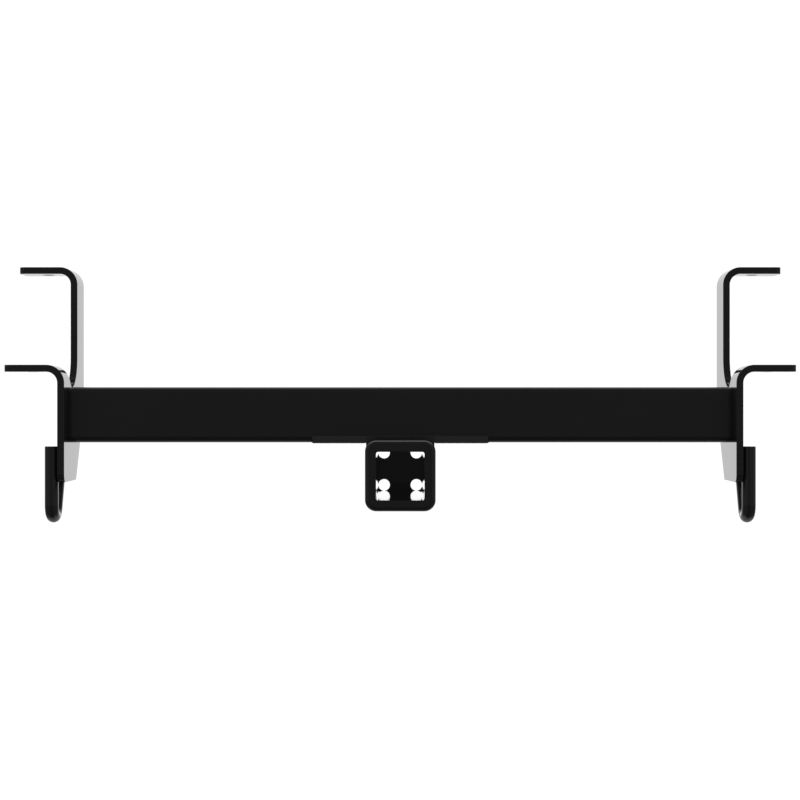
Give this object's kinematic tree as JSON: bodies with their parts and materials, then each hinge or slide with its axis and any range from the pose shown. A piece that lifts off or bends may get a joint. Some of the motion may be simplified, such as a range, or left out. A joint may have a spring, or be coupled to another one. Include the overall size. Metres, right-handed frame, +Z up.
{
  "type": "front mount receiver hitch",
  "caption": "Front-mount receiver hitch: cross tube with square receiver, gusset plate, bent frame brackets and round-bar tow loops, welded and gloss black.",
  "frame": {"origin": "centre of the receiver's mouth, in the plane of the collar's front face", "axes": "+Y into the receiver towards the vehicle, +Z up towards the frame rails, X along the cross tube, +X to the right as seen from the front"},
  "size_m": [0.9002, 0.24, 0.2972],
  "materials": {
    "powder_coat": "gloss black powder coat on steel plate and tube",
    "coated_weld": "the same gloss black coat over rippled weld beads"
  },
  "bodies": {
    "root": {"cross_tube": "powder_coat", "receiver_tube": "powder_coat", "receiver_collar": "powder_coat", "receiver_back_plate": "powder_coat", "gusset_plate": "powder_coat", "left_frame_bracket": "powder_coat", "right_frame_bracket": "powder_coat", "left_tow_loop": "powder_coat", "right_tow_loop": "powder_coat", "left_bracket_weld": "coated_weld", "right_bracket_weld": "coated_weld", "collar_weld": "coated_weld", "back_plate_weld": "coated_weld", "receiver_rear_weld": "coated_weld", "receiver_left_weld": "coated_weld", "receiver_right_weld": "coated_weld", "gusset_left_weld": "coated_weld", "gusset_right_weld": "coated_weld", "left_loop_front_weld": "coated_weld", "right_loop_front_weld": "coated_weld", "left_loop_rear_weld": "coated_weld", "right_loop_rear_weld": "coated_weld"}
  },
  "joints": []
}
